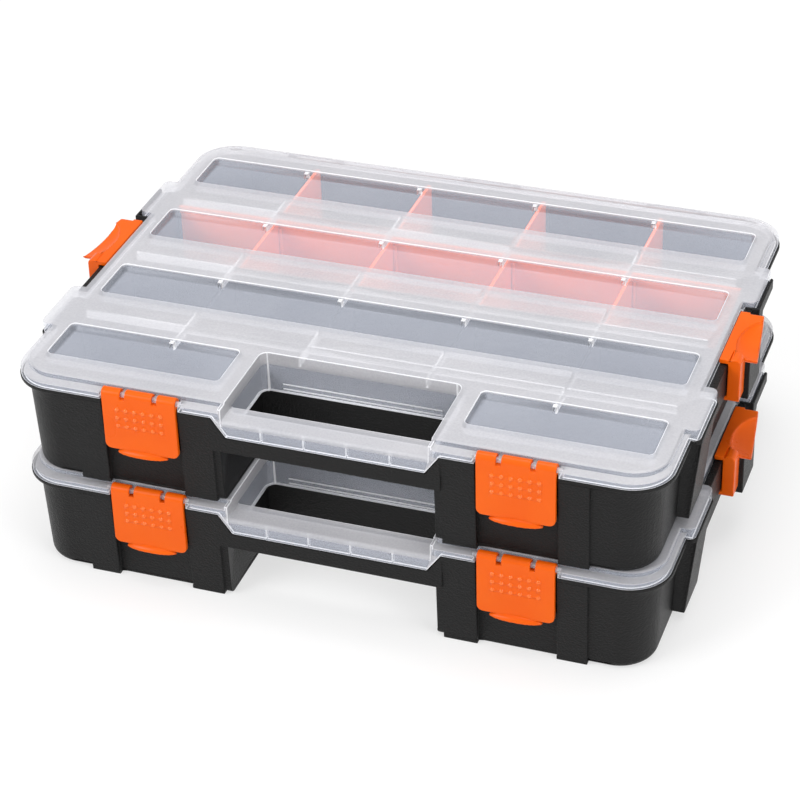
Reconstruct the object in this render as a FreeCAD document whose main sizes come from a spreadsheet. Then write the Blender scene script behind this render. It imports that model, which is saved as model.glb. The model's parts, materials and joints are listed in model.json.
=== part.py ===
import FreeCAD, Part
import math
import os
import Sketcher
from types import SimpleNamespace

# Two stacked organizer cases. Each case is drawn about its own middle with its underside at zero height,
# front towards -Y, and is then put in its place in the stack.

# Driving dimensions in millimetres and degrees
SIZES = {
    # Whole case
    "boxHeight": "53.2",
    "bodyDepth": "246.6",
    "lidWidth": "311.2",
    "cornerRadius": "20",
    "clearance": "0.3",
    "wall": "2",
    # Lid shell
    "lidPlate": "1.8",
    "skirtHeight": "6.1",
    "ledgeDrop": "2.6",
    "ledgeSide": "2.4",
    "ledgeFront": "5.2",
    "lidEdgeRadius": "1.2",
    "bumpReach": "4",
    "bumpRadius": "3.5",
    "frontBumpEnd": "41.8",
    "frontBumpLength": "36.2",
    "rearBumpStart": "36.7",
    "rearBumpLength": "34.1",
    # Windows and compartments
    "columnTrim": "1.2",
    "rowTrim": "2.85",
    "windowMargin": "10.9",
    "windowSpacing": "30.8",
    "windowDrop": "4.4",
    "windowFloor": "1.4",
    "windowDraft": "8",
    "windowRadius": "2",
    "windowFrame": "1.2",
    "frontWindowMargin": "9.7",
    "tabWidth": "2.2",
    "tabDepth": "2.4",
    "lidRib": "1.2",
    # Handle
    "handleToLatch": "40.2",
    "recessSetback": "13.5",
    "recessRadius": "4",
    "apronDrop": "21.2",
    "apronWall": "1.6",
    "apronGap": "1.2",
    "gripDepth": "13.6",
    "coverDrop": "7.5",
    "coverSkirtDrop": "15.5",
    "gripDrop": "23.7",
    "coverSlope": "6.8",
    "coverRibShare": "0.4167",
    "coverRound": "2",
    "stripeMargin": "10",
    "stripeDrop": "15.8",
    "stripePitch": "2.55",
    "stripeHeight": "0.8",
    "stripeReach": "0.6",
    "gripBottomRadius": "3",
    # Tray
    "flange": "2",
    "flangeReach": "0.8",
    "sideInset": "3.6",
    "frontInset": "1",
    "rearInset": "2",
    "draftAngle": "2.5",
    "bottomRadius": "4",
    "floorThickness": "2.2",
    "sideWall": "4.4",
    "rearWall": "2.4",
    "linerInset": "3",
    "cellWall": "1.8",
    "rimGap": "0.3",
    "pillarGap": "5.4",
    "pillarWidth": "14.2",
    "buttressFoot": "4.4",
    "buttressLength": "27.2",
    # Latches
    "latchInset": "66.4",
    "latchWidth": "36.4",
    "bayDepth": "4.5",
    "latchHeight": "28.6",
    "latchPlate": "2.4",
    "barrelRadius": "2.8",
    "rodRadius": "1.3",
    "runGap": "0.05",
    "rodDrop": "3",
    "rodBehind": "2.1",
    "slotWidth": "2.4",
    "slotSpacing": "15.7",
    "slotDepth": "1.6",
    "latchCorner": "3",
    "lipReach": "2.2",
    "lipDrop": "1.9",
    "lipHeight": "3",
    "lipWidth": "25",
    "nibHeight": "2.2",
    "nibReach": "0.9",
    "catchHeight": "2.4",
    "dotPitch": "4.3",
    "dotRadius": "1.3",
    "dotDrop": "9.8",
    # Rear hinge
    "hingeShare": "0.63",
    "knuckleWidth": "22",
    "lugWidth": "4",
    "knuckleRadius": "3",
    "pinRadius": "1.6",
    "hingeBehind": "3.5",
    "hingeDrop": "2.7",
    "lugDrop": "6",
    "armGap": "0.4",
    "armNeck": "1.3",
    "armRise": "0.9",
    "neckRise": "2.3",
    # Side clips and their rails
    "railGap": "1.1",
    "railWidth": "3.3",
    "railTopDrop": "3.1",
    "railBottomDrop": "19.7",
    "clipStart": "16.5",
    "clipLength": "44.6",
    "clipTopDrop": "0.3",
    "clipFlange": "2.5",
    "clipWeb": "6",
    "clipHook": "2.1",
    "clipHookHeight": "2.3",
    "clipLegLength": "10",
    "clipRidge": "0.6",
    "flapFront": "12.2",
    "flapRear": "7.2",
    "flapHeight": "5.5",
    "flapStart": "7.5",
    "dishDepth": "4.4",
    "dishReach": "13.7",
    "dishLength": "42",
    "dishStart": "12",
    "dishOffset": "14",
    "clipRound": "2.4",
    "guardReach": "8.6",
    "guardLength": "24",
    "guardDrop": "26.5",
    "stopWall": "1.5",
    "stopDrop": "2.4",
    "stopLength": "29",
    # Dividers
    "dividerThickness": "1.8",
    "dividerTopGap": "0.3",
    "guideRib": "1.4",
    "guideDrop": "4",
    "dividerRound": "2.5",
}

COLUMNS = (-1.5, -0.5, 0.5, 1.5)
ROWS = 4
ROW_WALLS = (-1, 0)
WINDOW_ROWS = (-0.5, 0.5, 1.5)
FRONT_ROW = -1.5
HINGES = (-1, 0, 1)
SIDES = (("left", -1), ("right", 1))
LEVELS = (("lower", 0), ("upper", 1))
DOT_COLUMNS = 6
DOT_ROWS = 3
STRIPES = 2
SPARE = 5  # how far a cutting shape runs past what it cuts

doc = FreeCAD.newDocument("organizer")
sheet = doc.addObject("Spreadsheet::Sheet", "Sizes")


class Size:
    """A number kept together with the sheet expression that it comes from."""

    def __init__(self, number, text):
        self.number = number
        self.text = text

    def __add__(self, other):
        other = as_size(other)
        return Size(self.number + other.number, f"({self.text} + {other.text})")

    def __sub__(self, other):
        other = as_size(other)
        return Size(self.number - other.number, f"({self.text} - {other.text})")

    def __mul__(self, other):
        other = as_size(other)
        return Size(self.number * other.number, f"({self.text} * {other.text})")

    def __truediv__(self, other):
        other = as_size(other)
        return Size(self.number / other.number, f"({self.text} / {other.text})")

    def __neg__(self):
        return Size(-self.number, f"(0 - {self.text})")

    def __radd__(self, other):
        return as_size(other) + self

    def __rsub__(self, other):
        return as_size(other) - self

    def __rmul__(self, other):
        return as_size(other) * self


def as_size(value):
    if isinstance(value, Size):
        return value
    return Size(float(value), f"({float(value)})")


def tangent(angle):
    return Size(math.tan(math.radians(angle.number)), f"tan({angle.text} * 1 deg)")


def fill_sheet():
    values = {}
    for row, (alias, text) in enumerate(SIZES.items(), start=1):
        sheet.set(f"A{row}", alias)
        sheet.set(f"B{row}", text)
        sheet.setAlias(f"B{row}", alias)
        values[alias] = Size(float(text), f"Sizes.{alias}")
    doc.recompute()
    return SimpleNamespace(**values)


s = fill_sheet()

# Places worked out from the driving dimensions
half_lid = s.lidWidth / 2
front = -(s.bodyDepth / 2)
back = s.bodyDepth / 2
lid_top = s.boxHeight
skirt_bottom = lid_top - s.skirtHeight
ledge_top = lid_top - s.ledgeDrop
slab_half = half_lid - s.ledgeSide
slab_front = front + s.ledgeFront
slab_back = back - s.ledgeFront
flange_top = skirt_bottom
flange_bottom = flange_top - s.flange
rim_top = flange_top - s.rimGap
bump_half = half_lid + s.bumpReach
front_bump = (-(s.frontBumpEnd + s.frontBumpLength), -s.frontBumpEnd)
rear_bump = (s.rearBumpStart, s.rearBumpStart + s.rearBumpLength)
column_pitch = (s.lidWidth - s.columnTrim) / (len(COLUMNS) + 1)
row_pitch = s.bodyDepth / ROWS - s.rowTrim
window_half = half_lid - s.windowMargin
window_depth = row_pitch - s.windowSpacing
window_floor = lid_top - s.windowDrop
tray_bottom = window_floor - s.windowFloor
latch_offset = half_lid - s.latchInset
recess_half = latch_offset - s.handleToLatch
recess_back = -(row_pitch + s.recessSetback)
pillar_start = recess_half + s.pillarGap
apron_half = recess_half + s.apronWall
apron_back = recess_back + s.apronWall
apron_bottom = lid_top - s.apronDrop
notch_half = apron_half + s.clearance
notch_back = apron_back + s.clearance
cover_top = lid_top - s.coverDrop
cover_bottom = cover_top - s.lidPlate
cover_back = front + s.gripDepth
cover_skirt = lid_top - s.coverSkirtDrop
grip_bottom = lid_top - s.gripDrop
cover_foot = recess_half - (s.coverSlope / 2) + s.apronWall
cover_head = cover_foot + s.coverSlope
tray_half = half_lid - s.sideInset
tray_front = front + s.frontInset
tray_back = back - s.rearInset
tray_height = flange_bottom
cavity_half = tray_half - s.sideWall
cavity_back = tray_back - s.rearWall
bay_half = s.latchWidth / 2 + s.clearance * 2
bay_back = front + s.bayDepth
cell_front = bay_back + s.wall
rod_y = front + s.rodBehind
rod_z = lid_top - s.rodDrop
latch_front = rod_y - s.barrelRadius
latch_back = latch_front + s.latchPlate
latch_bottom = rod_z - s.latchHeight
nib_tip = latch_back + s.nibReach
hinge_y = back + s.hingeBehind
hinge_z = flange_top - s.hingeDrop
hinge_spacing = half_lid * s.hingeShare
lug_radius = s.knuckleRadius
hinge_back = hinge_y + lug_radius
lip_front = latch_front - s.lipReach
mid_y = -(lip_front + hinge_back) / 2
rail_inner = slab_half + s.railGap
rail_outer = rail_inner + s.railWidth
rail_top = lid_top - s.railTopDrop
rail_bottom = lid_top - s.railBottomDrop
recess_front_y = front_bump[1]
recess_rear_y = rear_bump[0]
clip_front = -s.clipStart
clip_rear = clip_front + s.clipLength
clip_top = lid_top - s.clipTopDrop
clip_inner = slab_half + s.clearance * 2
web_inner = rail_outer + s.clearance
web_outer = web_inner + s.clipWeb
hook_top = rail_bottom - s.clearance
flap_bottom = clip_top - s.flapHeight
divider_top = rim_top - s.dividerTopGap
long_divider_y = row_pitch
guide_offset = s.dividerThickness / 2 + s.clearance + s.guideRib / 2


def bind(thing, **expressions):
    for name, value in expressions.items():
        thing.setExpression(name, as_size(value).text)


def put(thing, x, y, z):
    for axis, value in zip("xyz", (x, y, z)):
        thing.setExpression(f"Placement.Base.{axis}", as_size(value).text)


def mirrored(span):
    return (-as_size(span[1]), -as_size(span[0]))


def slab(name, x, y, z):
    box = doc.addObject("Part::Box", name)
    bind(box, Length=x[1] - x[0], Width=y[1] - y[0], Height=z[1] - z[0])
    put(box, x[0], y[0], z[0])
    return box


def both_sides(name, x, y, z):
    return [slab(name, x, y, z), slab(name, mirrored(x), y, z)]


def centred(half):
    return (-half, half)


def about(middle, width):
    return (middle - width / 2, middle + width / 2)


def leaning(name, low_x, high_x, low_y, high_y, z):
    # Block whose section changes from low to high with height
    wedge = doc.addObject("Part::Wedge", name)
    wedge.Placement.Rotation = FreeCAD.Rotation(FreeCAD.Vector(1, 0, 0), 90)
    bind(wedge, Xmin=low_x[0], Xmax=low_x[1], X2min=high_x[0], X2max=high_x[1])
    bind(wedge, Zmin=-low_y[1], Zmax=-low_y[0], Z2min=-high_y[1], Z2max=-high_y[0])
    bind(wedge, Ymin=z[0], Ymax=z[1])
    return wedge


def bar(name, x, y, z, radius):
    # Round bar along X
    rod = doc.addObject("Part::Cylinder", name)
    rod.Placement.Rotation = FreeCAD.Rotation(FreeCAD.Vector(0, 1, 0), 90)
    bind(rod, Radius=radius, Height=x[1] - x[0])
    put(rod, x[0], y, z)
    return rod


def fuse(name, shapes):
    result = doc.addObject("Part::MultiFuse", name)
    result.Shapes = shapes
    return result


def cut(name, base, tools):
    result = doc.addObject("Part::Cut", name)
    result.Base = base
    result.Tool = tools[0] if len(tools) == 1 else fuse(f"{name}Tools", tools)
    return result


def common(name, shapes):
    result = doc.addObject("Part::MultiCommon", name)
    result.Shapes = shapes
    return result


def new_sketch(body, name, role, offset):
    sketch = body.newObject("Sketcher::SketchObject", name)
    plane = next(item for item in body.Origin.OriginFeatures if item.Role == role)
    sketch.AttachmentSupport = (plane, [""])
    sketch.MapMode = "FlatFace"
    sketch.setExpression("AttachmentOffset.Base.z", as_size(offset).text)
    return sketch


def set_distance(sketch, kind, geometry, point, value):
    value = as_size(value)
    index = sketch.addConstraint(Sketcher.Constraint(kind, -1, 1, geometry, point, value.number))
    sketch.setExpression(f"Constraints[{index}]", value.text)


def pad(body, sketch, length, taper=None):
    feature = body.newObject("PartDesign::Pad", f"{sketch.Name}Pad")
    feature.Profile = sketch
    bind(feature, Length=length)
    if taper is not None:
        bind(feature, TaperAngle=taper)
    return feature


def draw_rounded(sketch, x, y, radius):
    # Rectangle with four equal round corners, drawn anticlockwise from the front side
    left, right = (as_size(value).number for value in x)
    low, high = (as_size(value).number for value in y)
    turn = radius.number
    middles = ((right - turn, low + turn), (right - turn, high - turn),
               (left + turn, high - turn), (left + turn, low + turn))
    for corner, (middle_x, middle_y) in enumerate(middles):
        centre = FreeCAD.Vector(middle_x, middle_y, 0)
        start = math.radians(90 * (corner - 1))
        circle = Part.Circle(centre, FreeCAD.Vector(0, 0, 1), turn)
        sketch.addGeometry(Part.ArcOfCircle(circle, start, start + math.radians(90)), False)
    for corner in range(4):
        here = sketch.Geometry[(corner + 3) % 4].EndPoint
        there = sketch.Geometry[corner].StartPoint
        sketch.addGeometry(Part.LineSegment(here, there), False)
    for corner in range(4):
        line = 4 + corner
        sketch.addConstraint(Sketcher.Constraint("Tangent", (corner + 3) % 4, 2, line, 1))
        sketch.addConstraint(Sketcher.Constraint("Tangent", line, 2, corner, 1))
        flat = "Horizontal" if corner % 2 == 0 else "Vertical"
        sketch.addConstraint(Sketcher.Constraint(flat, line))
        if corner:
            sketch.addConstraint(Sketcher.Constraint("Equal", 0, corner))
    index = sketch.addConstraint(Sketcher.Constraint("Radius", 0, turn))
    sketch.setExpression(f"Constraints[{index}]", radius.text)
    set_distance(sketch, "DistanceY", 4, 1, y[0])
    set_distance(sketch, "DistanceX", 5, 1, x[1])
    set_distance(sketch, "DistanceY", 6, 1, y[1])
    set_distance(sketch, "DistanceX", 7, 1, x[0])


def rounded(name, x, y, radius, z, taper=None):
    body = doc.addObject("PartDesign::Body", name)
    sketch = new_sketch(body, f"{name}Outline", "XY_Plane", z[0])
    draw_rounded(sketch, x, y, radius)
    pad(body, sketch, z[1] - z[0], taper)
    return body


def rounded_sides(name, x, y, radius, z):
    return [rounded(name, x, y, radius, z), rounded(name, mirrored(x), y, radius, z)]


def edges_at_height(shape, height):
    found = []
    for number, edge in enumerate(shape.Edges, start=1):
        box = edge.BoundBox
        if abs(box.ZMin - height) < 1e-4 and abs(box.ZMax - height) < 1e-4:
            found.append(f"Edge{number}")
    return found


def round_edges(body, edges, radius):
    before = body.Tip
    fillet = body.newObject("PartDesign::Fillet", f"{body.Name}Round")
    fillet.Base = (before, edges)
    bind(fillet, Radius=radius)


def row_middle(row):
    return row_pitch * row


def column_middle(column):
    return column_pitch * column


def window_spans():
    # One long window in each row, and two short ones beside the handle
    spans = [(centred(window_half), about(row_middle(row), window_depth)) for row in WINDOW_ROWS]
    short = (recess_half + s.frontWindowMargin, window_half)
    front_y = about(row_middle(FRONT_ROW), window_depth)
    return spans + [(short, front_y), (mirrored(short), front_y)]


def grown(span, amount):
    return (span[0] - amount, span[1] + amount)


def hinge_span(hinge, width):
    return about(hinge_spacing * hinge, width)


def make_tray():
    # Drafted outer body with rounded bottom edges
    shrink = tangent(s.draftAngle) * tray_height
    outline_x = centred(tray_half - shrink)
    outline_y = (tray_front + shrink, tray_back - shrink)
    body = rounded("tray", outline_x, outline_y, s.cornerRadius - shrink, (as_size(0), tray_height),
                   s.draftAngle)
    doc.recompute()
    round_edges(body, edges_at_height(body.Shape, 0), s.bottomRadius)
    return body


def make_cells():
    # Open inside of the tray, kept inside one rounded outline
    floor = (s.floorThickness, lid_top + SPARE)
    handle_back = notch_back + s.wall
    corner_start = latch_offset + bay_half + s.wall
    beside_x = (notch_half + s.wall, cavity_half)
    cells = both_sides("besideHandle", beside_x, (cell_front, handle_back + SPARE), floor)
    cells += both_sides("frontCorner", (corner_start, cavity_half), (tray_front, cell_front + s.wall), floor)
    cells.append(slab("rows", centred(cavity_half), (handle_back, tray_back), floor))
    liner = rounded("liner", centred(cavity_half), (tray_front + s.wall, cavity_back),
                    s.cornerRadius - s.linerInset, floor)
    return common("cells", [fuse("cellBlocks", cells), liner])


def guide_pairs(name, y, z):
    # Upright ribs on both sides of every short divider
    ribs = []
    for column in COLUMNS:
        for side in (-1, 1):
            ribs.append(slab(name, about(column_middle(column) + side * guide_offset, s.guideRib), y, z))
    return ribs


def make_guides():
    # Ribs of the tray that hold the dividers of the back two rows
    z = (s.floorThickness - s.wall / 2, rim_top - s.guideDrop)
    ribs = guide_pairs("backGuide", (cavity_back - s.guideRib, cavity_back + s.wall / 2), z)
    for side in (-1, 1):
        y = about(long_divider_y + side * guide_offset, s.guideRib)
        ribs += both_sides("sideGuide", (cavity_half - s.guideRib, cavity_half + s.wall / 2), y, z)
    return ribs


def make_plain_wall(label, x, y, level):
    # Plain wall of the tray, drawn where it stands
    lift = s.boxHeight * level
    return slab(label, x, (y[0] + mid_y, y[1] + mid_y), (s.floorThickness + lift, rim_top + lift))


def make_middle_wall(label):
    # Wall across the tray with ribs for the dividers behind it
    y = about(row_middle(ROW_WALLS[1]), s.cellWall)
    plate = slab("middlePlate", centred(cavity_half), y, (s.floorThickness, rim_top))
    ribs = guide_pairs("rowGuide", (y[1] - s.cellWall / 2, y[1] + s.guideRib),
                       (s.floorThickness, rim_top - s.guideDrop))
    return fuse(label, [plate] + ribs)


def make_cover_room(name):
    # Room for the sloped front face of the lid's cover
    gap = s.clearance
    y = (front - SPARE, front + s.lidPlate + gap)
    return leaning(name, centred(cover_foot + gap * 2), centred(cover_head + gap * 2), y, y,
                   (cover_skirt - gap, skirt_bottom + gap))


def make_handle():
    # Bar across the front recess, stepped in where the lid's cover wraps it
    block = slab("gripBlock", centred(pillar_start), (front, cover_back), (grip_bottom, rim_top))
    doc.recompute()
    keep = s.clearance
    top_cut = slab("gripTop", centred(notch_half), (front - SPARE, cover_back + SPARE),
                   (cover_bottom - keep, lid_top))
    rear_y = (cover_back - s.apronWall - keep, cover_back + SPARE)
    rear_cut = slab("gripRear", centred(recess_half + keep), rear_y, (cover_skirt + s.lidPlate, lid_top))
    front_cut = make_cover_room("gripFront")
    rib_cut = slab("gripRibs", centred(cover_foot), (front, front + s.lidPlate + s.lidRib + keep),
                   (cover_skirt - keep, lid_top))
    return block, [top_cut, rear_cut, front_cut, rib_cut]


def make_rail(side):
    # Rail, guard block and stop plate for one side clip
    def at(x):
        return x if side > 0 else mirrored(x)

    guard_front = clip_front + s.clipLegLength + s.clearance
    guard_outer = rail_outer + s.guardReach
    stop_y = (recess_rear_y - s.clearance - s.stopWall, recess_rear_y - s.clearance)
    stop_x = bump_half + s.clearance
    stop_z = (flange_bottom, lid_top - s.stopDrop)
    rail_y = (recess_front_y + s.clearance, recess_rear_y - s.clearance)
    return [
        slab("rail", at((rail_inner, rail_outer)), rail_y, (rail_bottom, rail_top)),
        slab("railRoot", at((tray_half - s.wall, rail_outer)), rail_y, (flange_bottom, flange_top)),
        slab("guard", at((rail_outer - s.wall, guard_outer)), (guard_front, guard_front + s.guardLength),
             (lid_top - s.guardDrop, flap_bottom - s.clearance)),
        slab("stopPlate", at((rail_inner, stop_x + s.stopWall)), stop_y, stop_z),
        slab("stopWall", at((stop_x, stop_x + s.stopWall)), (stop_y[0], stop_y[1] + s.stopLength), stop_z),
    ]


def make_moulding(label):
    # Whole tray in one piece
    flange_z = (flange_bottom, flange_top)
    solids = [make_tray()]
    solids.append(rounded("flange", centred(half_lid + s.flangeReach), (front, back),
                          s.cornerRadius + s.flangeReach, flange_z))
    for bump in (front_bump, rear_bump):
        x = (tray_half - s.bumpRadius * 2, bump_half + s.flangeReach)
        solids += rounded_sides("bumpFlange", x, bump, s.bumpRadius, flange_z)
    foot_y = (front_bump[0] + s.bumpRadius / 2, front_bump[0] + s.buttressLength)
    lean = tangent(s.draftAngle) * tray_height
    buttress_z = (s.bottomRadius, flange_top)
    for side in (1, -1):
        low = (tray_half - s.sideWall, bump_half + s.flangeReach - s.buttressFoot)
        high = (tray_half - s.sideWall, bump_half + s.flangeReach)
        if side < 0:
            low, high = mirrored(low), mirrored(high)
        solids.append(leaning("buttress", low, high, foot_y, foot_y, buttress_z))
    pillar_back = bay_back + s.wall
    outer_start = latch_offset + bay_half
    for x in ((pillar_start, latch_offset - bay_half), (outer_start, outer_start + s.pillarWidth)):
        for span in (x, mirrored(x)):
            solids.append(leaning("pillar", span, span, (front + lean, pillar_back), (front, pillar_back),
                                  (as_size(0), flange_top)))
    shell = fuse("shell", solids)
    notch = slab("notch", centred(notch_half), (front - SPARE, notch_back), (as_size(-SPARE), lid_top))
    bay_z = (as_size(-SPARE), lid_top)
    bays = [slab("bay", about(latch_offset * side, bay_half * 2), (front - SPARE, bay_back), bay_z)
            for side in (-1, 1)]
    rim_cut = rounded("rimCut", centred(tray_half - s.wall), (tray_front + s.wall, tray_back - s.wall),
                      s.cornerRadius - s.wall, (rim_top, lid_top))
    hollow = cut("hollow", shell, [make_cells(), rim_cut, notch] + bays)
    block, grip_cuts = make_handle()
    grip = cut("grip", block, grip_cuts)
    additions = [hollow, grip] + make_guides()
    catch_bottom = latch_bottom + s.nibHeight + s.clearance
    catch_z = (catch_bottom, catch_bottom + s.catchHeight)
    for side in (-1, 1):
        additions.append(slab("catch", about(latch_offset * side, bay_half * 2),
                              (nib_tip + s.clearance, bay_back + s.wall / 2), catch_z))
        additions += make_rail(side)
    for hinge in HINGES:
        pin_x = hinge_span(hinge, s.knuckleWidth + s.lugWidth)
        additions.append(bar("pin", pin_x, hinge_y, hinge_z, s.pinRadius))
        for side in (-1, 1):
            middle = hinge_spacing * hinge + side * (s.knuckleWidth / 2 + s.clearance + s.lugWidth / 2)
            x = about(middle, s.lugWidth)
            foot_z = (hinge_z - s.lugDrop, hinge_z)
            additions.append(slab("lugFoot", x, (tray_back - s.wall, hinge_y), foot_z))
            additions.append(bar("lugEnd", x, hinge_y, hinge_z, lug_radius))
    return cut(label, fuse(f"{label}Solid", additions), [make_cover_room("coverRelief")])


def make_lid_shell():
    # Stepped cover of even thickness, with the side bumps
    plate = s.lidPlate
    outer = [rounded("skirt", centred(half_lid), (front, back), s.cornerRadius, (skirt_bottom, ledge_top))]
    top = rounded("top", centred(slab_half), (slab_front, slab_back), s.cornerRadius - s.ledgeSide,
                  (skirt_bottom, lid_top))
    doc.recompute()
    round_edges(top, edges_at_height(top.Shape, lid_top.number), s.lidEdgeRadius)
    outer.append(top)
    low = skirt_bottom - SPARE
    cores = [rounded("skirtCore", centred(half_lid - plate), (front + plate, back - plate),
                     s.cornerRadius - plate, (low, ledge_top - plate)),
             rounded("topCore", centred(slab_half - plate), (slab_front + plate, slab_back - plate),
                     s.cornerRadius - s.ledgeSide - plate, (low, lid_top - plate))]
    for bump in (front_bump, rear_bump):
        outer += rounded_sides("bump", (slab_half - s.bumpRadius * 2, bump_half), bump, s.bumpRadius,
                               (skirt_bottom, lid_top))
        cores += both_sides("bumpCore", (slab_half - plate * 2, bump_half - plate), grown(bump, -plate),
                            (low, lid_top - plate))
    return cut("lidShell", fuse("lidOuter", outer), [fuse("lidCores", cores)])


def make_hand_space(name):
    # Space for the hand, open to the front and rounded at its back corners
    return rounded(name, centred(recess_half), (front - SPARE * 2, recess_back), s.recessRadius,
                   (apron_bottom - SPARE, lid_top + SPARE))


def make_cover():
    # Plate over the bar and its sloped front face, with a rounded edge between them
    face_y = (front, front + s.lidPlate)
    plate = slab("coverPlate", centred(apron_half), (front, cover_back), (cover_bottom, cover_top))
    face = leaning("coverFace", centred(cover_foot), centred(cover_head), face_y, face_y,
                   (cover_skirt, skirt_bottom))
    above = slab("coverAbove", centred(recess_half), (front - SPARE, cover_back), (cover_top, lid_top))
    turn_y = front + s.coverRound
    turn_z = cover_top - s.coverRound
    corner = slab("coverCorner", centred(recess_half), (front - SPARE, turn_y), (turn_z, lid_top))
    edge = cut("coverEdge", corner, [bar("coverTurn", centred(recess_half), turn_y, turn_z, s.coverRound)])
    return cut("cover", fuse("coverSolid", [plate, face]), [above, edge])


def make_handle_cover():
    # Apron round the hand opening, and the cover over the bar with its inner ribs
    apron_z = (apron_bottom, lid_top - s.lidPlate / 2)
    apron_front = cover_back + s.apronGap
    outer_radius = s.recessRadius + s.apronWall
    block = rounded("apronBlock", centred(apron_half), (front, apron_back), outer_radius, apron_z)
    ahead = slab("apronAhead", centred(apron_half), (front - SPARE, apron_front),
                 (apron_bottom - SPARE, lid_top))
    pieces = [cut("apron", block, [make_hand_space("apronSpace"), ahead]), make_cover()]
    stripe_y = (recess_back - s.stripeReach, recess_back + s.apronWall / 2)
    for stripe in range(STRIPES):
        middle = lid_top - s.stripeDrop - s.stripePitch * stripe
        pieces.append(slab("stripe", centred(recess_half - s.stripeMargin), stripe_y,
                           about(middle, s.stripeHeight)))
    side_x = (recess_half, apron_half)
    pieces += both_sides("coverSide", side_x, (front, apron_front), (cover_bottom, apron_z[1]))
    pieces.append(slab("coverLip", centred(recess_half), (cover_back - s.apronWall, cover_back),
                       (cover_skirt + s.lidPlate + s.clearance, cover_top)))
    for column in COLUMNS:
        pieces.append(slab("coverRib", about(recess_half * s.coverRibShare * column, s.lidRib),
                           (front + s.lidPlate / 2, front + s.lidPlate + s.lidRib),
                           (cover_skirt, cover_top - s.lidPlate / 2)))
    return pieces


def make_lid(label):
    shell = make_lid_shell()
    plate = s.lidPlate
    solids = [shell]
    recesses = []
    for x, y in window_spans():
        frame = s.windowFrame
        depth = tangent(s.windowDraft) * s.windowDrop
        floor_x, floor_y = grown(x, -depth), grown(y, -depth)
        solids.append(rounded("windowTray", grown(floor_x, frame), grown(floor_y, frame), s.windowRadius,
                              (tray_bottom, lid_top - s.lidEdgeRadius), s.windowDraft))
        recesses.append(rounded("window", floor_x, floor_y, s.windowRadius,
                                (window_floor, lid_top + s.lidEdgeRadius), s.windowDraft))
    rib_z = (rim_top + s.clearance, lid_top - plate / 2)
    rib_y = (row_middle(ROW_WALLS[0]) - s.windowSpacing / 2, row_middle(WINDOW_ROWS[-1]) + window_depth / 2)
    for wall in ROW_WALLS + (1,):
        solids.append(slab("rowRib", centred(window_half), about(row_middle(wall), s.lidRib), rib_z))
    for column in COLUMNS:
        solids.append(slab("columnRib", about(column_middle(column), s.lidRib), rib_y, rib_z))
    side_x = (slab_half - plate, slab_half)
    end_y = (recess_front_y - plate, recess_rear_y + plate)
    low_z = (skirt_bottom, ledge_top)
    solids += both_sides("recessWall", side_x, end_y, low_z)
    notch_x = grown(about(latch_offset, bay_half * 2), s.clearance)
    solids += both_sides("latchWall", notch_x, (slab_front, slab_front + plate),
                         (skirt_bottom, lid_top - plate))
    for x in ((notch_x[0] - plate, notch_x[0]), (notch_x[1], notch_x[1] + plate)):
        solids += both_sides("latchCheek", x, (front, slab_front + plate), low_z)
    through_z = (skirt_bottom - SPARE, lid_top + SPARE)
    spaces = recesses + [make_hand_space("handSpace")]
    spaces += both_sides("clipSpace", (slab_half, bump_half + SPARE), (recess_front_y, recess_rear_y),
                         through_z)
    spaces += both_sides("latchSpace", notch_x, (front - SPARE, slab_front), through_z)
    body = cut("lidBody", fuse("lidSolid", solids), spaces)
    pieces = [body] + make_handle_cover()
    tab_z = (window_floor - s.windowFloor / 2, lid_top - plate / 2)
    for row in WINDOW_ROWS + (FRONT_ROW,):
        for column in COLUMNS if row != FRONT_ROW else (COLUMNS[0], COLUMNS[-1]):
            rear = row_middle(row) + window_depth / 2
            pieces.append(slab("tab", about(column_middle(column), s.tabWidth),
                               (rear - s.tabDepth, rear + plate / 2), tab_z))
    rib_half = s.slotWidth / 2 - s.clearance
    for side in (-1, 1):
        middle = latch_offset * side
        pieces.append(bar("rod", about(middle, bay_half * 2 + plate * 2), rod_y, rod_z, s.rodRadius))
        for slot in (-0.5, 0.5):
            x = about(middle + s.slotSpacing * slot, rib_half * 2)
            pieces.append(slab("rodRib", x, (rod_y, slab_front + plate / 2),
                               (rod_z - s.rodRadius, rod_z + s.rodRadius)))
    knuckles = []
    bores = []
    for hinge in HINGES:
        x = hinge_span(hinge, s.knuckleWidth)
        knuckles.append(bar("knuckle", x, hinge_y, hinge_z, s.knuckleRadius))
        arm = back + s.armGap
        knuckles.append(slab("hingeArm", x, (arm, hinge_y), (hinge_z, skirt_bottom + s.armRise)))
        knuckles.append(slab("armRoot", x, (back - plate, arm + s.armNeck),
                             (skirt_bottom, skirt_bottom + s.neckRise)))
        bores.append(bar("knuckleBore", grown(x, SPARE), hinge_y, hinge_z, s.pinRadius + s.runGap))
    return cut(label, fuse(f"{label}Solid", pieces + knuckles), bores)


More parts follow.
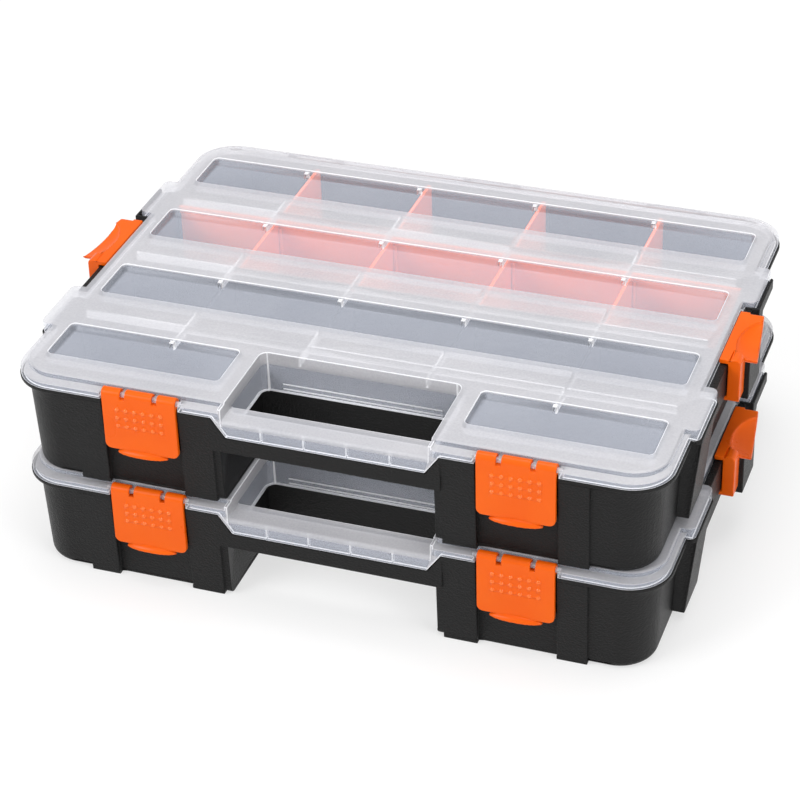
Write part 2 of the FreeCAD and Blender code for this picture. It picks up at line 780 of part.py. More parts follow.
def make_latch(label):
    # Snap latch drawn about its own middle, with a split barrel, a plain plate and a thumb lip
    half = s.latchWidth / 2
    body = doc.addObject("PartDesign::Body", "latchPlate")
    sketch = new_sketch(body, "latchProfile", "YZ_Plane", -half)
    drop = (s.barrelRadius.number ** 2 - (latch_back - rod_y).number ** 2) ** 0.5
    centre = FreeCAD.Vector(rod_y.number, rod_z.number, 0)
    begin = math.atan2(-drop, (latch_back - rod_y).number)
    circle = Part.Circle(centre, FreeCAD.Vector(0, 0, 1), s.barrelRadius.number)
    sketch.addGeometry(Part.ArcOfCircle(circle, begin, math.pi), False)
    points = [(latch_front, rod_z.number), (latch_front, latch_bottom.number),
              (latch_back, latch_bottom.number), (latch_back, rod_z.number - drop)]
    corners = [FreeCAD.Vector(y.number, z, 0) for y, z in points]
    for first, second in zip(corners, corners[1:]):
        sketch.addGeometry(Part.LineSegment(first, second), False)
    for first, second in ((0, 1), (1, 2), (2, 3)):
        sketch.addConstraint(Sketcher.Constraint("Coincident", first, 2, second, 1))
    sketch.addConstraint(Sketcher.Constraint("Coincident", 3, 2, 0, 1))
    sketch.addConstraint(Sketcher.Constraint("Vertical", 1))
    sketch.addConstraint(Sketcher.Constraint("Horizontal", 2))
    sketch.addConstraint(Sketcher.Constraint("Vertical", 3))
    set_distance(sketch, "DistanceX", 0, 3, rod_y)
    set_distance(sketch, "DistanceY", 0, 3, rod_z)
    set_distance(sketch, "DistanceX", 1, 1, latch_front)
    set_distance(sketch, "DistanceY", 1, 1, rod_z)
    set_distance(sketch, "DistanceY", 2, 1, latch_bottom)
    set_distance(sketch, "DistanceX", 3, 1, latch_back)
    pad(body, sketch, s.latchWidth)
    doc.recompute()
    corners = [f"Edge{number}" for number, edge in enumerate(body.Shape.Edges, start=1)
               if edge.BoundBox.YLength > 0.5 * s.latchPlate.number and edge.BoundBox.ZLength < 1e-4
               and edge.BoundBox.XLength < 1e-4 and abs(edge.BoundBox.ZMin - latch_bottom.number) < 1e-4]
    round_edges(body, corners, s.latchCorner)
    lip = doc.addObject("Part::Ellipsoid", "lip")
    bind(lip, Radius1=s.lipHeight, Radius2=s.lipWidth / 2, Radius3=s.lipReach + s.latchPlate / 2)
    put(lip, as_size(0), latch_front + s.latchPlate / 2, latch_bottom - s.lipDrop)
    lip_keep = slab("lipKeep", centred(half), (lip_front - SPARE, latch_back),
                    (latch_bottom - s.lipDrop, rod_z))
    nib = slab("nib", centred(half - s.latchCorner), (latch_back - s.latchPlate / 2, nib_tip),
               (latch_bottom, latch_bottom + s.nibHeight))
    dots = []
    for row in range(DOT_ROWS):
        for column in range(DOT_COLUMNS):
            dot = doc.addObject("Part::Sphere", "dot")
            bind(dot, Radius=s.dotRadius)
            put(dot, s.dotPitch * (column - (DOT_COLUMNS - 1) / 2), latch_front + s.dotRadius / 2,
                lid_top - s.dotDrop - s.dotPitch * row)
            dots.append(dot)
    solid = fuse(f"{label}Solid", [body, common("lipShape", [lip, lip_keep]), nib] + dots)
    bore = bar("latchBore", grown(centred(half), SPARE), rod_y, rod_z, s.rodRadius + s.runGap)
    slots = [slab("slot", about(s.slotSpacing * slot, s.slotWidth), (latch_front - SPARE, rod_y + SPARE),
                  (rod_z - s.slotDepth, lid_top + SPARE)) for slot in (-0.5, 0.5)]
    return cut(label, solid, [bore] + slots)


def make_right_clip(label):
    # Sliding clip that hooks round the right-hand rail, with a dished thumb flap
    ridge = web_inner + s.clipRidge
    leg_y = (clip_front, clip_front + s.clipLegLength)
    hook_z = (hook_top - s.clipHookHeight, hook_top)
    top_bar = slab("clipBar", (clip_inner, ridge), (clip_front, clip_rear),
                   (clip_top - s.clipFlange, clip_top))
    leg = doc.addObject("PartDesign::Body", "clipLeg")
    sketch = new_sketch(leg, "clipLegOutline", "XZ_Plane", -leg_y[1])
    draw_rounded(sketch, (web_inner, web_outer), (hook_z[0], clip_top), s.clipRound)
    pad(leg, sketch, s.clipLegLength)
    hook = slab("clipHook", (web_inner - s.clipHook, web_outer), leg_y, hook_z)
    flap = doc.addObject("Part::Wedge", "clipFlap")
    bind(flap, Ymin=clip_front + s.flapStart, Ymax=clip_rear, Xmin=web_inner, X2min=web_inner)
    bind(flap, Xmax=web_inner + s.flapFront, X2max=web_inner + s.flapRear)
    bind(flap, Zmin=flap_bottom, Z2min=flap_bottom, Zmax=clip_top, Z2max=clip_top)
    flap_y = (clip_front + s.flapStart, clip_rear)
    outline = doc.addObject("PartDesign::Body", "flapOutline")
    sketch = new_sketch(outline, "flapOutlineSketch", "YZ_Plane", web_inner)
    draw_rounded(sketch, flap_y, (flap_bottom, clip_top), s.clipRound)
    pad(outline, sketch, s.flapFront)
    dish = doc.addObject("Part::Ellipsoid", "clipDish")
    bind(dish, Radius1=s.dishDepth, Radius2=s.dishReach, Radius3=s.dishLength / 2)
    put(dish, web_inner + s.dishOffset, flap_y[0] + s.dishStart, clip_top)
    dish_room = slab("dishRoom", (clip_inner, web_inner + s.dishOffset + s.dishReach),
                     (flap_y[0], clip_rear + SPARE), (flap_bottom, clip_top + SPARE))
    flap = common("clipFlapRound", [flap, outline])
    scoop = common("clipScoop", [dish, dish_room])
    return cut(label, fuse(f"{label}Solid", [top_bar, leg, hook, flap]), [scoop])


def make_long_divider(label):
    y = about(long_divider_y, s.dividerThickness)
    plate = slab("longPlate", centred(cavity_half - s.clearance), y, (s.floorThickness, divider_top))
    ribs = guide_pairs("dividerGuide", grown(y, s.guideRib), (s.floorThickness, divider_top - s.guideDrop))
    return fuse(label, [plate] + ribs)


def make_short_divider(label, row):
    # Plain card with its two upper corners rounded
    start = row_middle(0) + s.cellWall / 2 if row == 0 else long_divider_y + s.dividerThickness / 2
    end = long_divider_y - s.dividerThickness / 2 if row == 0 else cavity_back
    y = (start + s.clearance, end - s.clearance)
    body = doc.addObject("PartDesign::Body", label)
    sketch = new_sketch(body, "cardOutline", "YZ_Plane", -(s.dividerThickness / 2))
    draw_rounded(sketch, y, (s.floorThickness, divider_top), s.dividerRound)
    pad(body, sketch, s.dividerThickness)
    return body


def finish(thing, label, x, level):
    thing.Label = label
    put(thing, x, mid_y, s.boxHeight * level)
    return thing


def make_tray_nodes(name, level):
    # The tray as three nodes that meet in planes: its floor, its rear wall and all the rest
    whole = make_moulding(f"{name}Moulding")
    far = hinge_back + SPARE
    floor = slab("floorLayer", centred(bump_half + SPARE * 2), (front - SPARE * 2, far),
                 (as_size(-SPARE), s.floorThickness))
    rear = slab("rearLayer", centred(tray_half - s.cornerRadius), (cavity_back - s.guideRib, far),
                (s.floorThickness, lid_top + SPARE))
    parts = {f"{name}_base": cut(f"{name}_base", whole, [floor, rear]),
             f"{name}_floor": common(f"{name}_floor", [whole, floor]),
             f"{name}_rear_wall": common(f"{name}_rear_wall", [whole, rear])}
    return [finish(part, label, as_size(0), level) for label, part in parts.items()]


def make_case(name, level):
    nodes = make_tray_nodes(name, level)
    nodes.append(finish(make_lid(f"{name}_lid"), f"{name}_lid", as_size(0), level))
    front_wall = about(row_middle(ROW_WALLS[0]), s.cellWall)
    nodes.append(make_plain_wall(f"{name}_front_row_wall", centred(cavity_half), front_wall, level))
    label = f"{name}_middle_row_wall"
    nodes.append(finish(make_middle_wall(label), label, as_size(0), level))
    column_y = (front_wall[1], row_middle(ROW_WALLS[1]) - s.cellWall / 2)
    for number, column in enumerate(COLUMNS, start=1):
        label = f"{name}_column_wall_{number}"
        nodes.append(make_plain_wall(label, about(column_middle(column), s.cellWall), column_y, level))
    for side, sign in SIDES:
        label = f"{name}_latch_{side}"
        nodes.append(finish(make_latch(label), label, latch_offset * sign, level))
    right_clip = make_right_clip(f"{name}_clip_right")
    left_clip = doc.addObject("Part::Mirroring", f"{name}_clip_left")
    left_clip.Source = right_clip
    left_clip.Normal = FreeCAD.Vector(1, 0, 0)
    left_clip.Label = f"{name}_clip_left"
    nodes += [finish(right_clip, f"{name}_clip_right", as_size(0), level), left_clip]
    label = f"{name}_long_divider"
    nodes.append(finish(make_long_divider(label), label, as_size(0), level))
    for row, row_name in enumerate(("middle", "back")):
        for number, column in enumerate(COLUMNS, start=1):
            label = f"{name}_{row_name}_divider_{number}"
            nodes.append(finish(make_short_divider(label, row), label, column_middle(column), level))
    return nodes


def check(nodes):
    for thing in doc.Objects:
        if "Invalid" in thing.State or "Error" in thing.State:
            raise RuntimeError(f"{thing.Label} did not build: {thing.State}")
    for node in nodes:
        if node.Shape.isNull() or not node.Shape.isValid():
            raise RuntimeError(f"{node.Label} has no valid shape")
        if len(node.Shape.Solids) != 1:
            raise RuntimeError(f"{node.Label} is {len(node.Shape.Solids)} solids")


def export(nodes):
    os.makedirs("parts", exist_ok=True)
    for node in nodes:
        node.Shape.exportStep(f"parts/{node.Label}.step")


nodes = []
for name, level in LEVELS:
    nodes += make_case(name, level)
doc.recompute()
check(nodes)
export(nodes)
for node in nodes:
    box = node.Shape.optimalBoundingBox(False)
    low = [round(value, 2) for value in (box.XMin, box.YMin, box.ZMin)]
    high = [round(value, 2) for value in (box.XMax, box.YMax, box.ZMax)]
    print(node.Label, low, high, "volume", round(node.Shape.Volume))
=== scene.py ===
import json
import math
import bmesh
import bpy
from mathutils import Matrix, Vector


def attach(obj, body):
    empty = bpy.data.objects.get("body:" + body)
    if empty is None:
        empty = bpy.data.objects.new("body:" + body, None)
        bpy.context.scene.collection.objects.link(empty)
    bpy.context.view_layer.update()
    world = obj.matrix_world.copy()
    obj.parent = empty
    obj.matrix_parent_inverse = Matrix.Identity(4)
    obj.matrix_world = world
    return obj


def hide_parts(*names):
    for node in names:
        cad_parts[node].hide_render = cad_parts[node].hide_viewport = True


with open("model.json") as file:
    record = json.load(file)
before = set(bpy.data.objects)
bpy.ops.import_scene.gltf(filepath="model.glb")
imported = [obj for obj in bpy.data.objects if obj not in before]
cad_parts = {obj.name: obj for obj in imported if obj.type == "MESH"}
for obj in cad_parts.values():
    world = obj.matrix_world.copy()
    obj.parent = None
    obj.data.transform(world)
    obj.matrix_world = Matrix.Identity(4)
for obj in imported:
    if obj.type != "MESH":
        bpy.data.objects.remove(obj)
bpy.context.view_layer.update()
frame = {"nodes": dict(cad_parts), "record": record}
print("frame loaded,", len(frame["nodes"]), "nodes")

mm = 0.001
caseHeight = 53.2 * mm  # one case stands this much above the other
seams = {"floor": 2.2 * mm, "rearHalf": 132.0 * mm, "rear": 115.0 * mm}  # where the nodes of one tray meet
cases = (("lower", 0), ("upper", 1))


# Shader maths: a socket that takes part in plain expressions
class Wire:
    def __init__(self, shader, socket):
        self.shader = shader
        self.socket = socket

    def sum(self, operation, first, second):
        return self.shader.add("ShaderNodeMath", {"operation": operation}, {0: first, 1: second})

    def __add__(self, other):
        return self.sum("ADD", self, other)

    def __radd__(self, other):
        return self.sum("ADD", other, self)

    def __sub__(self, other):
        return self.sum("SUBTRACT", self, other)

    def __rsub__(self, other):
        return self.sum("SUBTRACT", other, self)

    def __mul__(self, other):
        return self.sum("MULTIPLY", self, other)

    def __rmul__(self, other):
        return self.sum("MULTIPLY", other, self)


class Shader:
    def __init__(self, owner):
        owner.use_nodes = True
        self.owner = owner  # a material or the world
        self.tree = owner.node_tree
        self.tree.nodes.clear()

    def add(self, kind, settings=None, inputs=None, output=0):
        node = self.tree.nodes.new(kind)
        for key, value in (settings or {}).items():
            setattr(node, key, value)
        for key, value in (inputs or {}).items():
            if isinstance(value, Wire):
                self.tree.links.new(value.socket, node.inputs[key])
            else:
                node.inputs[key].default_value = value
        return Wire(self, node.outputs[output])

    def noise(self, scale, roughness=0.5):
        place = self.add("ShaderNodeTexCoord", output="Object")
        return self.add("ShaderNodeTexNoise", {}, {"Vector": place, "Scale": scale, "Detail": 3.0,
                                                   "Roughness": roughness})

    def blend(self, factor, first, second):
        return self.add("ShaderNodeMix", {"data_type": "RGBA"}, {0: factor, 6: first, 7: second}, 2)

    def bump(self, height, depth, strength):
        return self.add("ShaderNodeBump", {}, {"Height": height, "Distance": depth, "Strength": strength})

    def finish(self, surface, kind="ShaderNodeOutputMaterial"):
        out = self.tree.nodes.new(kind)
        self.tree.links.new(surface.socket, out.inputs["Surface"])
        return self.owner


# Plastics
blackPlastic = {"deep": (0.0034, 0.0034, 0.0036, 1), "light": (0.007, 0.0068, 0.0068, 1), "grain": 1000,
                "depth": 0.0012, "dull": 0.5, "gloss": 0.34, "shine": 0.24}
orangePlastic = {"deep": (0.74, 0.088, 0.002, 1), "light": (0.82, 0.132, 0.004, 1), "grain": 900,
                 "depth": 0.00002, "dull": 0.34, "gloss": 0.24, "shine": 0.18}
# Dots: a glossier orange whose lighter colour is a painted highlight
dotHighlightPlastic = {"deep": (0.84, 0.13, 0.005, 1), "light": (0.90, 0.165, 0.008, 1), "grain": 900,
               "depth": 0.00001, "dull": 0.24, "gloss": 0.17, "shine": 0.6}
# Painted light: the dividers' orange is a lighter copy of the same plastic, standing for the light that the
# milky lid lets in to them
dividerPaintedLightPlastic = {"deep": (0.95, 0.125, 0.004, 1), "light": (1.0, 0.165, 0.008, 1), "grain": 900,
                  "depth": 0.00002, "dull": 0.5, "gloss": 0.4, "shine": 0.3}
moulded = {"cloud": 40, "grainRoughness": 0.65, "bump": 0.6}  # shared by the solid plastics
frostedPlastic = {"cool": (0.58, 0.585, 0.63, 1), "warm": (0.675, 0.665, 0.695, 1),
                  "cover": 0.48, "vary": 0.06, "dull": 0.36}
clearPlastic = {"cool": (0.79, 0.84, 0.98, 1), "warm": (0.85, 0.89, 1.0, 1),
                "cover": 0.21, "vary": 0.03, "dull": 0.22}
# Painted light on the lid's edges, tabs, ribs and stripes
paintedLightPlastic = {"cool": (0.86, 0.87, 0.92, 1), "warm": (0.92, 0.92, 0.95, 1),
                 "cover": 0.76, "vary": 0.1, "dull": 0.3}
milk = {"cloud": 22, "speckle": 900, "speckleRoughness": 0.7, "fleck": 1.2, "depth": 0.00004, "bump": 0.3,
        "dullVary": 0.12}  # shared by the milky plastics


def makeSolid(name, look):
    shader = Shader(bpy.data.materials.new(name))
    cloud = shader.noise(moulded["cloud"])
    grain = shader.noise(look["grain"], moulded["grainRoughness"])
    surface = shader.add("ShaderNodeBsdfPrincipled", {}, {
        "Base Color": shader.blend(cloud, look["deep"], look["light"]),
        "Roughness": look["gloss"] + (look["dull"] - look["gloss"]) * cloud,
        "Normal": shader.bump(grain, look["depth"], moulded["bump"]),
        "Specular IOR Level": look["shine"]})
    return shader.finish(surface)


def makeMilky(name, look):
    shader = Shader(bpy.data.materials.new(name))
    cloud = shader.noise(milk["cloud"])
    speckle = shader.noise(milk["speckle"], milk["speckleRoughness"])
    fleck = speckle - 0.5
    cover = look["cover"] + look["vary"] * (cloud + 2 * fleck)
    light = shader.add("ShaderNodeLightPath", output="Is Shadow Ray")  # light passes through to the inside
    light += shader.add("ShaderNodeLightPath", output="Is Diffuse Ray")
    surface = shader.add("ShaderNodeBsdfPrincipled", {}, {
        "Base Color": shader.blend(cloud + milk["fleck"] * fleck, look["cool"], look["warm"]),
        "Roughness": look["dull"] + milk["dullVary"] * cloud,
        "Normal": shader.bump(speckle, milk["depth"], milk["bump"]),
        "Alpha": cover * (1 - light)})
    return shader.finish(surface)


black = makeSolid("blackTexturedPlastic", blackPlastic)
orange = makeSolid("orangePlastic", orangePlastic)
dotHighlightOrange = makeSolid("paintedHighlightDotPlastic", dotHighlightPlastic)  # the same plastic, glossier, and lighter in colour as a painted highlight on the dots
dividerPaintedLightOrange = makeSolid("dividerPaintedLightPlastic", dividerPaintedLightPlastic)
frosted = makeMilky("frostedLidPlastic", frostedPlastic)
clear = makeMilky("clearWindowPlastic", clearPlastic)
paintedLightMilk = makeMilky("paintedLightEdgePlastic", paintedLightPlastic)  # painted light: a whiter, more opaque milky plastic stands for the light gathered in the lid's edges, tabs, ribs and stripes
print("plastics mixed")


# Mesh work that all the pieces share
meshWork = {"merge": 0.002 * mm, "flat": math.radians(0.5), "near": 0.01 * mm, "bend": math.radians(20),
            "sharp": math.radians(40), "room": 2.4, "upright": 0.9, "segments": 2}


def deselect():
    bpy.ops.object.select_all(action="DESELECT")


def copyNode(node, name):
    deselect()
    piece = bpy.data.objects.new(name, frame["nodes"][node].data.copy())
    bpy.context.scene.collection.objects.link(piece)
    piece.select_set(True)
    bpy.context.view_layer.objects.active = piece
    bpy.ops.object.mode_set(mode="EDIT")
    bpy.ops.mesh.select_all(action="SELECT")
    bpy.ops.mesh.remove_doubles(threshold=meshWork["merge"])
    bpy.ops.mesh.beautify_fill(angle_limit=meshWork["flat"])
    return piece


def patchWidths(mesh):
    # Mean width of the flat or gently curved patch that each face belongs to
    widths = {}
    for seed in mesh.faces:
        if seed in widths:
            continue
        widths[seed] = 0
        patch, area, border = [seed], 0, 0
        for face in patch:
            area += face.calc_area()
            for edge in face.edges:
                if not edge.is_manifold or abs(edge.calc_face_angle_signed()) > meshWork["bend"]:
                    border += edge.calc_length()
                    continue
                for other in edge.link_faces:
                    if other not in widths:
                        widths[other] = 0
                        patch.append(other)
        for face in patch:
            widths[face] = 2 * area / max(border, meshWork["merge"])
    return widths


def onSeam(edge):
    # True where a tray's walls stand on its floor, or where its rear wall begins
    near = meshWork["near"]
    places = [corner.co for corner in edge.verts]
    if all(abs(place.z % caseHeight - seams["floor"]) < near for place in places):
        return True
    return all(abs(abs(place.x) - seams["rearHalf"]) < near and place.y > seams["rear"] for place in places)


def standsOut(edge):
    # True at a sharp outward edge
    return edge.is_manifold and edge.calc_face_angle_signed() > meshWork["sharp"]


def easeEdges(piece, ease, material):
    # Round the outward edges that lie between faces wide enough for it
    mesh = bmesh.from_edit_mesh(piece.data)
    widths = patchWidths(mesh)
    bpy.ops.mesh.select_all(action="DESELECT")
    mesh.select_mode = {"EDGE"}
    for edge in mesh.edges:
        if standsOut(edge) and not onSeam(edge):
            edge.select = min(widths[face] for face in edge.link_faces) > meshWork["room"] * ease
    bmesh.update_edit_mesh(piece.data)
    bpy.ops.mesh.bevel(offset=ease, segments=meshWork["segments"], affect="EDGES", clamp_overlap=False,
                       loop_slide=False, material=material)
    bpy.ops.object.mode_set(mode="OBJECT")
    bpy.ops.object.shade_smooth_by_angle(angle=meshWork["sharp"])
    lean = piece.modifiers.new("flatFaces", "WEIGHTED_NORMAL")
    lean.keep_sharp = True
    bpy.ops.object.modifier_apply(modifier=lean.name)


def setMaterial(piece, *materials):
    piece.data.materials.clear()
    for material in materials:
        piece.data.materials.append(material)


def settle(piece, node, body):
    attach(piece, body)
    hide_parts(node)


def levelDots(piece, plan, height):
    # Cut the facetted dots off a latch: smooth domes stand there later
    low = plan["top"] - plan["pitch"] * plan["rows"] + height
    high = plan["top"] + plan["pitch"] + height
    mesh = bmesh.from_edit_mesh(piece.data)
    bpy.ops.mesh.select_all(action="DESELECT")
    for face in mesh.faces:
        place = face.calc_center_median()
        face.select = place.y < plan["face"] + plan["cut"] and low < place.z < high
    bmesh.update_edit_mesh(piece.data)
    # Bisect's usual threshold is wider than this cut and would take in the latch's face
    bpy.ops.mesh.bisect(plane_co=(0, plan["face"] - plan["cut"], 0), plane_no=(0, -1, 0), clear_outer=True,
                        use_fill=True, threshold=plan["exact"])


def roundTips(piece, plan):
    # Round the upright outer corners of a side clip's flap
    mesh = bmesh.from_edit_mesh(piece.data)
    bpy.ops.mesh.select_all(action="DESELECT")
    mesh.select_mode = {"EDGE"}
    for edge in mesh.edges:
        rise = edge.verts[0].co - edge.verts[1].co
        upright = abs(rise.z) > meshWork["upright"] * rise.length
        outer = all(abs(corner.co.x) > plan["from"] for corner in edge.verts)
        if upright and outer and standsOut(edge):
            edge.select = True
    bmesh.update_edit_mesh(piece.data)
    bpy.ops.mesh.bevel(offset=plan["radius"], segments=plan["segments"], affect="EDGES", clamp_overlap=True)


# Moulded parts: each is its own solid with eased edges
bodies = frame["record"]["behaviour"]["bodies"]
bodyOf = {node: body for body, members in bodies.items() for node in members}
mouldings = {
    "base": {"ease": 0.5 * mm, "materials": (black,), "slot": "black_plastic"},
    "floor": {"ease": 0.4 * mm, "materials": (black,), "slot": "black_plastic"},
    "wall": {"ease": 0.3 * mm, "materials": (black,), "slot": "black_plastic"},
    "lid": {"ease": 0.4 * mm, "materials": (frosted, clear, paintedLightMilk), "slot": "frosted_plastic"},
    "latch": {"ease": 0.4 * mm, "materials": (orange,), "slot": "orange_plastic"},
    "clip": {"ease": 0.5 * mm, "materials": (orange,), "slot": "orange_plastic"},
    "divider": {"ease": 0.3 * mm, "materials": (dividerPaintedLightOrange,), "slot": "orange_plastic"},
}
windowPlan = {"pitch": 58.8 * mm, "halfDepth": 14.9 * mm, "halfWidth": 145.6 * mm, "frontInner": 57.8 * mm,
              "frontRow": -1.5, "low": 47.0 * mm, "high": 52.9 * mm, "floor": 48.9 * mm, "edge": 50.9 * mm,
              "rim": 0.9 * mm}
tabPlan = {"pitch": 62 * mm, "halfWidth": 1.5 * mm, "depth": 3.2 * mm}
ribPlan = {"halfWidth": 0.8 * mm, "top": 51.5 * mm, "front": -75 * mm, "half": 146 * mm}
apronPlan = {"half": 50.8 * mm, "back": -70.5 * mm, "stripes": -72.4 * mm, "band": 46.8 * mm,
             "foot": 32.5 * mm}
coverPlan = {"back": -109.4 * mm, "inside": -121.4 * mm, "turn": 43.6 * mm, "half": 46 * mm}
dotPlan = {"radius": 1.2 * mm, "rows": 3, "columns": 6, "pitch": 4.3 * mm, "top": 43.4 * mm,
           "face": -125.8 * mm, "behind": 0.35 * mm, "sink": 0.1 * mm, "cut": 0.01 * mm,
           "exact": 0.001 * mm, "smooth": math.radians(35), "segments": 20, "rings": 12,
           "latches": (("left", -89.2 * mm), ("right", 89.2 * mm))}
tipPlan = {"from": 164 * mm, "radius": 2.2 * mm, "segments": 4}
lidPlan = {"middle": -1.8 * mm, "paintedLightBelow": 48.0 * mm, "steep": 0.4, "square": 0.9, "under": -0.5}
milkyLook, clearLook, paintedLightLook = range(3)  # places of the lid's three plastics


def windowRow(place, rim=0):
    # Distance behind the middle of the window row that a place lies in, or nothing outside the windows
    x, y, z = place
    row = round(y / windowPlan["pitch"] + 0.5) - 0.5
    behind = y - row * windowPlan["pitch"]
    inside = abs(behind) < windowPlan["halfDepth"] + rim and abs(x) < windowPlan["halfWidth"] + rim
    if not inside or not windowPlan["low"] < z < windowPlan["high"] + rim:
        return None
    if row == windowPlan["frontRow"] and abs(x) < windowPlan["frontInner"] - rim:
        return None
    return behind


def besideLine(distance, pitch):
    # How far a place is from the nearest of evenly spaced lines
    along = distance % pitch
    return min(along, pitch - along)


def onTab(place, behind):
    # Small tongue at the back edge of a window, over each divider
    near = windowPlan["halfDepth"] - behind < tabPlan["depth"]
    beside = besideLine(place.x + tabPlan["pitch"] / 2, tabPlan["pitch"])
    return near and beside < tabPlan["halfWidth"] and place.z > windowPlan["floor"]


def onRib(place):
    # Thin ribs under the lid, over the walls and dividers
    x, y, z = place
    if z > ribPlan["top"] or y < ribPlan["front"] or abs(x) > ribPlan["half"]:
        return False
    beside = min(besideLine(x + tabPlan["pitch"] / 2, tabPlan["pitch"]), besideLine(y, windowPlan["pitch"]))
    return beside < ribPlan["halfWidth"]


def apronLook(place, normal, eased):
    # Wall round the hand opening: painted light on its foot and on the front faces of its stripes, clear
    # below its upper band
    foot = normal.z < lidPlan["under"] and place.z < apronPlan["foot"]
    stripe = normal.y < -lidPlan["square"] and place.y < apronPlan["stripes"]
    if eased or foot or stripe:
        return paintedLightLook
    return clearLook if place.z < apronPlan["band"] else milkyLook


def coverLook(place, normal, eased):
    # Cover over the handle bar: painted light on its eased edges and the sides of its inner ribs, clear
    # below its rounded edge
    rib = abs(normal.x) > lidPlan["square"] and abs(place.x) < coverPlan["half"]
    if eased or rib and place.y > coverPlan["inside"]:
        return paintedLightLook
    return clearLook if place.z < coverPlan["turn"] else milkyLook


def lidLook(place, normal, eased):
    # Painted light on eased window edges, tabs, ribs and the lowest eased edges; clear plastic on windows
    # and upright faces
    x, y, z = place
    if eased and z > windowPlan["edge"] and windowRow(place, windowPlan["rim"]) is not None:
        return paintedLightLook
    behind = windowRow(place)
    if behind is not None:
        return paintedLightLook if onTab(place, behind) else clearLook
    if abs(x) < apronPlan["half"] and y < apronPlan["back"]:
        return apronLook(place, normal, eased) if y > coverPlan["back"] else coverLook(place, normal, eased)
    if onRib(place):
        return paintedLightLook
    if eased:
        return paintedLightLook if z < lidPlan["paintedLightBelow"] else milkyLook
    return clearLook if abs(normal.z) < lidPlan["steep"] else milkyLook


def paintLid(piece, level):
    # Faces made by the bevel start with the painted-light plastic
    for face in piece.data.polygons:
        place = face.center - Vector((0, lidPlan["middle"], level * caseHeight))
        face.material_index = lidLook(place, face.normal, face.material_index == paintedLightLook)


for case, level in cases:
    for node in sorted(frame["nodes"]):
        if not node.startswith(case):
            continue
        kind = next(word for word in mouldings if word in node)
        look = mouldings[kind]
        piece = copyNode(node, node + "_shell")
        setMaterial(piece, *look["materials"])
        if kind == "lid":
            bandHeight = apronPlan["band"] + level * caseHeight
            bpy.ops.mesh.bisect(plane_co=(0, 0, bandHeight), plane_no=(0, 0, 1))
        if kind == "latch":
            levelDots(piece, dotPlan, level * caseHeight)
        if kind == "clip":
            roundTips(piece, tipPlan)
        easeEdges(piece, look["ease"], len(look["materials"]) - 1)
        if kind == "lid":
            paintLid(piece, level)
        settle(piece, node, bodyOf[node])
    print(case, "case dressed")


# Grip dots on the latches
def repeat(piece, count, step):
    array = piece.modifiers.new("repeat", "ARRAY")
    array.count = count
    array.use_relative_offset = False
    array.use_constant_offset = True
    array.constant_offset_displace = step
    bpy.ops.object.modifier_apply(modifier=array.name)


def makeDots(plan):
    # One dome, cut off just behind the latch's face, in rows and columns about the middle of a latch
    deselect()
    place = (plan["pitch"] * (1 - plan["columns"]) / 2, plan["face"] + plan["behind"], plan["top"])
    bpy.ops.mesh.primitive_uv_sphere_add(segments=plan["segments"], ring_count=plan["rings"],
                                         radius=plan["radius"], location=place)
    bpy.ops.object.transform_apply(location=True)
    bpy.ops.object.mode_set(mode="EDIT")
    bpy.ops.mesh.select_all(action="SELECT")
    bpy.ops.mesh.bisect(plane_co=(0, plan["face"] + plan["sink"], 0), plane_no=(0, 1, 0), clear_outer=True,
                        use_fill=True)
    bpy.ops.object.mode_set(mode="OBJECT")
    bpy.ops.object.shade_smooth_by_angle(angle=plan["smooth"])
    dots = bpy.context.object
    repeat(dots, plan["columns"], (plan["pitch"], 0, 0))
    repeat(dots, plan["rows"], (0, 0, -plan["pitch"]))
    return dots


pattern = makeDots(dotPlan)
setMaterial(pattern, dotHighlightOrange)
for case, level in cases:
    for side, across in dotPlan["latches"]:
        grip = bpy.data.objects.new(f"{case}_latch_{side}_dots", pattern.data.copy())
        grip.data.transform(Matrix.Translation((across, 0, level * caseHeight)))
        bpy.context.scene.collection.objects.link(grip)
        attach(grip, f"{case}_latch_{side}")
bpy.data.objects.remove(pattern)
print("latch dots raised")


# Studio: pale floor, soft light, camera where the picture was taken
studio = {"floorSize": 6.0, "floorColour": (0.86, 0.86, 0.86, 1), "white": (1, 1, 1, 1), "floorGlow": 1.05,
          "glow": 0.55, "ambient": 0.5, "background": 1.0, "fadeFrom": 0.4, "fadeTo": 1.4}
lampPlan = (
    {"name": "overhead", "place": (0.1, 0.2, 2.2), "aim": (0, 0, 0.05), "size": 1.6, "power": 29},
    {"name": "leftFront", "place": (-1.4, -1.5, 1.3), "aim": (0, 0, 0.05), "size": 1.2, "power": 27},
    {"name": "rightFront", "place": (1.7, -0.9, 1.0), "aim": (0, 0, 0.05), "size": 0.9, "power": 15},
)
cameraPlan = {"place": (0.35384, -0.99593, 0.72358), "yaw": 20.0, "pitch": -32.76, "roll": -1.59,
              "lens": 114.62, "sensor": 36}


def seenRay(shader):
    # One for rays that show the background, straight or by reflection and through glass
    kinds = ("Is Camera Ray", "Is Glossy Ray", "Is Transmission Ray")
    straight, glossy, through = (shader.add("ShaderNodeLightPath", output=kind) for kind in kinds)
    return straight + glossy + through


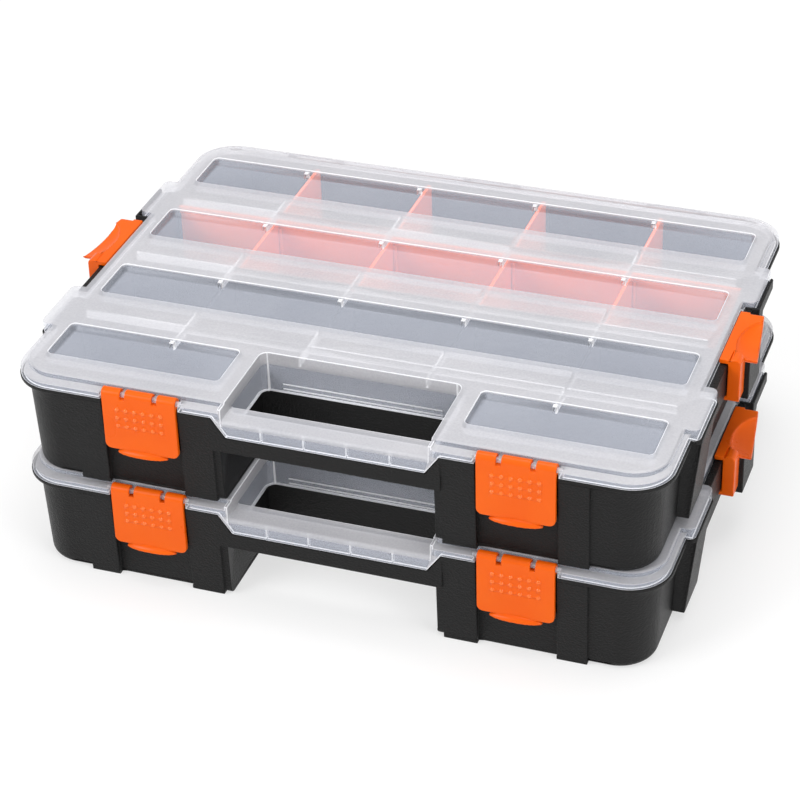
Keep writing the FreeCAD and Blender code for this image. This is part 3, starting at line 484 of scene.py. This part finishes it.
def makeFloor(plan):
    deselect()
    bpy.ops.mesh.primitive_plane_add(size=plan["floorSize"], location=(0, 0, 0))
    floor = bpy.context.object
    floor.name = "studioFloor"
    shader = Shader(bpy.data.materials.new("paleFloor"))
    matt = shader.add("ShaderNodeBsdfDiffuse", {}, {"Color": plan["floorColour"]})
    glow = shader.add("ShaderNodeEmission", {}, {"Color": plan["white"], "Strength": plan["floorGlow"]})
    place = shader.add("ShaderNodeTexCoord", output="Object")
    away = shader.add("ShaderNodeVectorMath", {"operation": "LENGTH"}, {0: place}, "Value")
    fade = shader.add("ShaderNodeMapRange", {"interpolation_type": "SMOOTHSTEP"}, {
        "Value": away, "From Min": plan["fadeFrom"], "From Max": plan["fadeTo"]})
    share = plan["glow"] + (1 - plan["glow"]) * fade  # the far floor goes over into the white air
    mix = shader.add("ShaderNodeMixShader", {}, {0: seenRay(shader) * share, 1: matt, 2: glow})
    setMaterial(floor, shader.finish(mix))


def makeWorld(plan):
    world = bpy.data.worlds.new("studioAir")
    bpy.context.scene.world = world
    shader = Shader(world)
    straight = shader.add("ShaderNodeLightPath", output="Is Camera Ray")
    strength = plan["ambient"] + (plan["background"] - plan["ambient"]) * straight
    air = shader.add("ShaderNodeBackground", {}, {"Color": plan["white"], "Strength": strength})
    shader.finish(air, "ShaderNodeOutputWorld")


def makeLamps(plans):
    for plan in plans:
        bpy.ops.object.light_add(type="AREA", location=plan["place"])
        lamp = bpy.context.object
        lamp.name = plan["name"]
        lamp.data.energy = plan["power"]
        lamp.data.size = plan["size"]
        aim = Vector(plan["aim"]) - Vector(plan["place"])
        lamp.rotation_euler = aim.to_track_quat("-Z", "Y").to_euler()


def makeCamera(plan):
    yaw, pitch, roll = (math.radians(plan[key]) for key in ("yaw", "pitch", "roll"))
    ahead = Vector((-math.sin(yaw) * math.cos(pitch), math.cos(yaw) * math.cos(pitch), math.sin(pitch)))
    right = Vector((math.cos(yaw), math.sin(yaw), 0))
    up = right.cross(ahead)
    across = right * math.cos(roll) + up * math.sin(roll)
    upright = up * math.cos(roll) - right * math.sin(roll)
    turn = Matrix((across, upright, -ahead)).transposed().to_4x4()
    data = bpy.data.cameras.new("pictureCamera")
    data.lens = plan["lens"]
    data.sensor_width = plan["sensor"]
    data.sensor_fit = "HORIZONTAL"
    camera = bpy.data.objects.new("pictureCamera", data)
    camera.matrix_world = Matrix.Translation(plan["place"]) @ turn
    bpy.context.scene.collection.objects.link(camera)
    bpy.context.scene.camera = camera


makeFloor(studio)
makeWorld(studio)
makeLamps(lampPlan)
makeCamera(cameraPlan)
bpy.context.scene.view_settings.view_transform = "Standard"
print("studio ready")
